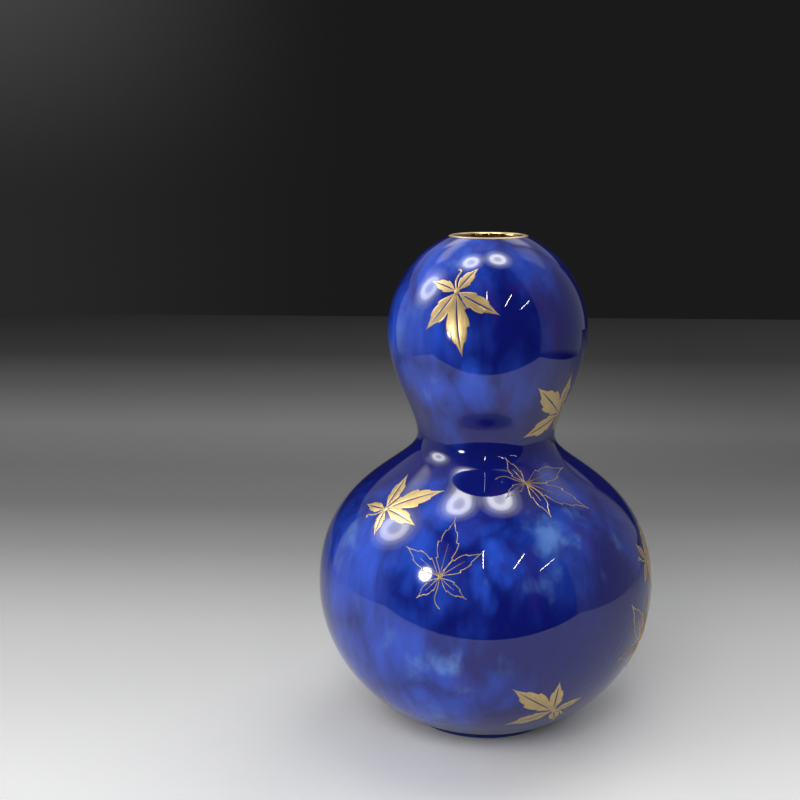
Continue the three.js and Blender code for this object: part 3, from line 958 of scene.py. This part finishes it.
# From a round lamp's middle to the edge of its halo: share of the halo's radius and brightness.
# The halo's radius is HALO times the lamp's
HALO = 1.7
RING_GLOW = [(0, 0.5), (0.15, 0.57), (0.32, 0.95), (0.42, 0.85), (0.58, 0.27), (0.77, 0.09), (1, 0)]
DISC_GLOW = [(0, 1), (0.5, 1), (0.6, 0.12), (0.8, 0.02), (1, 0)]
LAMP_STEPS = 48

# Lamps stand round the vase's middle, at azimuths and elevations in degrees and distances in metres.
# The round ones are there for their glints, and each is seen under its angle without the halo. The
# softboxes do the lighting. The tubes hang side by side in front of the vase and above it, and each
# runs from front to back
LAMP_TARGET = (0, -0.04, 0.16)
ROUND_LAMPS = [
    {"name": "lamp_above_left", "azimuth": 178.8, "elevation": 76, "distance": 1.1, "angle": 16,
     "radiance": 15, "glow": RING_GLOW},
    {"name": "lamp_above_right", "azimuth": 18.7, "elevation": 81.8, "distance": 1.1, "angle": 16,
     "radiance": 15, "glow": RING_GLOW},
    {"name": "lamp_left", "azimuth": 177, "elevation": 37.2, "distance": 0.85, "angle": 24,
     "radiance": 11.5, "glow": RING_GLOW},
    {"name": "lamp_near", "azimuth": -132, "elevation": 12, "distance": 0.36, "angle": 10,
     "radiance": 27, "glow": DISC_GLOW, "tall": 1.4},
]
SOFTBOXES = [
    {"name": "softbox_left", "azimuth": -148, "elevation": 37, "distance": 2.1, "width": 1.35,
     "radiance": 2.8},
    {"name": "softbox_front", "azimuth": -110, "elevation": 12, "distance": 2.1, "width": 1.4,
     "radiance": 3.0},
    {"name": "softbox_high", "azimuth": -104, "elevation": 38, "distance": 2.0, "width": 1.1,
     "radiance": 5.0},
    {"name": "softbox_above", "azimuth": 60, "elevation": 74, "distance": 1.6, "width": 1.0,
     "radiance": 1.6},
    {"name": "softbox_back", "azimuth": 60, "elevation": 16, "distance": 1.6, "width": 1.2,
     "radiance": 2.6},
]
TUBES_X = (-0.03, 1.18, 2.5)
TUBES_Y = -2.24
TUBES_HEIGHT = 2.16
TUBE_SIZE = (0.015, 1.2)
TUBE_RADIANCE = 100


def make_round_lamp(name, azimuth, elevation, distance, angle, radiance, glow, tall=1):
    """A glowing disc with a soft halo, which shows only as a glint."""
    m = Nodes(name)
    place = m.add("ShaderNodeTexCoord").outputs["Object"]
    reach = m.add("ShaderNodeVectorMath", {0: place}, operation="LENGTH").outputs["Value"]
    radius = distance * math.tan(math.radians(angle / 2)) * HALO
    shine = m.ramp(m.math("DIVIDE", reach, radius), glow)
    emission = m.add("ShaderNodeEmission", {"Color": shine, "Strength": radiance})
    # The lamp hides nothing that shines behind it
    clear = m.add("ShaderNodeBsdfTransparent")
    both = m.add("ShaderNodeAddShader", {0: emission.outputs[0], 1: clear.outputs[0]})
    m.join(both.outputs[0], m.tree.nodes["Material Output"].inputs[0])
    turn = np.linspace(0, 360, LAMP_STEPS + 1)[:-1]
    points = [(0, 0, 0)] + [(*polar(a, radius / MM), 0) for a in turn]
    faces = [[0, i + 1, (i + 1) % LAMP_STEPS + 1] for i in range(LAMP_STEPS)]
    lamp = make_object(name, points, faces, [m.owner])
    stand_lamp(lamp, azimuth, elevation, distance)
    lamp.scale = (1, tall, 1)
    lamp.visible_camera = False
    lamp.visible_diffuse = False


def stand_lamp(lamp, azimuth, elevation, distance):
    """Puts a lamp at its place round the target and turns it to face the target."""
    flat = polar(azimuth, math.cos(math.radians(elevation)))
    away = Vector((*flat, math.sin(math.radians(elevation))))
    lamp.location = Vector(LAMP_TARGET) + away * distance
    lamp.rotation_mode = "QUATERNION"
    lamp.rotation_quaternion = away.to_track_quat("Z", "Y")


def make_panel(name, centre, width, height, radiance):
    """A rectangular lamp that shines straight down."""
    light = bpy.data.lights.new(name, "AREA")
    light.shape = "RECTANGLE"
    light.size = width
    light.size_y = height
    light.energy = radiance * math.pi * width * height
    panel = bpy.data.objects.new(name, light)
    panel.location = centre
    panel.visible_camera = False
    bpy.context.scene.collection.objects.link(panel)
    return panel


def make_softbox(name, azimuth, elevation, distance, width, radiance):
    """A large soft lamp that lights the object and that the glaze doesn't mirror."""
    softbox = make_panel(name, (0, 0, 0), width, width, radiance)
    stand_lamp(softbox, azimuth, elevation, distance)
    softbox.visible_glossy = False


def make_lights():
    for lamp in ROUND_LAMPS:
        make_round_lamp(**lamp)
    for number, across in enumerate(TUBES_X):
        make_panel(f"tube_{number}", (across, TUBES_Y, TUBES_HEIGHT), *TUBE_SIZE, TUBE_RADIANCE)
    for softbox in SOFTBOXES:
        make_softbox(**softbox)


# What the glaze mirrors from round about: how bright each soft patch is, then its azimuths and
# elevations in degrees, each with how soft its two edges are. It is dark between the patches
MIRRORED_PATCHES = [
    {"light": 0.45, "azimuth": (143, 200), "fade": (1.5, 15), "elevation": (-30, 95), "lift": (30, 1)},
    {"light": 0.28, "azimuth": (-27, 57), "fade": (1.5, 3), "elevation": (-16, 56), "lift": (3, 10)},
    {"light": 0.35, "azimuth": (57, 143), "fade": (3, 1.5), "elevation": (18, 95), "lift": (1.5, 1)},
    {"light": 0.45, "azimuth": (-10, 200), "fade": (20, 20), "elevation": (60, 95), "lift": (8, 1)},
    {"light": 2.6, "azimuth": (105, 120), "fade": (5, 5), "elevation": (36, 50), "lift": (5, 6)},
    {"light": 2.2, "azimuth": (114, 148), "fade": (5, 5), "elevation": (43, 54), "lift": (4, 6)},
    {"light": 1.2, "azimuth": (148, 160), "fade": (4, 8), "elevation": (33, 46), "lift": (5, 8)},
    {"light": 0.85, "azimuth": (28, 60), "fade": (7, 7), "elevation": (38, 60), "lift": (7, 7)},
    {"light": 1.9, "azimuth": (61, 79), "fade": (5, 4), "elevation": (36, 52), "lift": (5, 6)},
]
MIRRORED_DARK = 0.0125


def make_world():
    m = Nodes("surroundings", bpy.data.worlds, "Background")
    bpy.context.scene.world = m.owner
    toward = m.add("ShaderNodeSeparateXYZ", {0: m.add("ShaderNodeTexCoord").outputs["Generated"]})
    azimuth = m.math("DEGREES", m.math("ARCTAN2", toward.outputs[1], toward.outputs[0]))
    elevation = m.math("DEGREES", m.math("ARCSINE", toward.outputs[2]))
    level = MIRRORED_DARK
    for patch in MIRRORED_PATCHES:
        start, end = patch["azimuth"]
        within = m.window(elevation, *patch["elevation"], *patch["lift"])
        # Counts degrees on from the patch's first edge, and breaks the circle opposite the patch
        spare = (360 - (end - start)) / 2
        turned = m.add("ShaderNodeMath", {0: m.math("SUBTRACT", azimuth, start), 1: end - start + spare,
                                          2: -spare}, operation="WRAP").outputs[0]
        within = m.math("MULTIPLY", within, m.window(turned, 0, end - start, *patch["fade"]))
        level = m.math("MAXIMUM", level, m.math("MULTIPLY", within, patch["light"]))
    # The camera sees the backdrop instead, a little lighter toward its upper left
    seen = m.add("ShaderNodeLightPath").outputs["Is Camera Ray"]
    low_haze = m.spread(elevation, *HAZE_ELEVATION, HAZE_LOW_SHARE, 1)
    haze = m.math("MULTIPLY", m.spread(azimuth, *HAZE_AZIMUTH), low_haze)
    backdrop = m.math("ADD", m.math("MULTIPLY", haze, HAZE), BACKDROP)
    hidden = m.math("MULTIPLY", level, m.math("SUBTRACT", 1, seen))
    m.join(m.math("ADD", hidden, m.math("MULTIPLY", seen, backdrop)), m.shader.inputs["Strength"])
    m.join((1, 1, 1, 1), m.shader.inputs["Color"])


def make_camera():
    camera = bpy.data.objects.new("camera", bpy.data.cameras.new("camera"))
    camera.data.lens = CAMERA_LENS
    camera.data.sensor_width = CAMERA_SENSOR
    camera.data.sensor_fit = "HORIZONTAL"
    pan, pitch = math.radians(CAMERA_PAN), math.radians(CAMERA_PITCH)
    forward = Vector((math.sin(pan) * math.cos(pitch), math.cos(pan) * math.cos(pitch), -math.sin(pitch)))
    right = Vector((math.cos(pan), -math.sin(pan), 0))
    up = right.cross(forward)
    turn = Matrix((right, up, -forward)).transposed()
    roll = Matrix.Rotation(math.radians(CAMERA_ROLL), 3, "Z")
    camera.matrix_world = Matrix.Translation(CAMERA_PLACE) @ (turn @ roll).to_4x4()
    bpy.context.scene.collection.objects.link(camera)
    bpy.context.scene.camera = camera


def add_piece(piece, node):
    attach(piece, "root")
    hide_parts(node)


bpy.context.scene.view_settings.view_transform = "Standard"
make_camera()
make_world()
make_floor()
make_lights()
add_piece(make_body(cobalt_glaze(), clear_glaze(), biscuit()), "porcelain_body")
add_piece(make_rim(polished_gold()), "gilt_rim")
gold = painted_gold()
for number, place in enumerate(PLACES):
    add_piece(make_leaf(place, number, gold), place["node"])
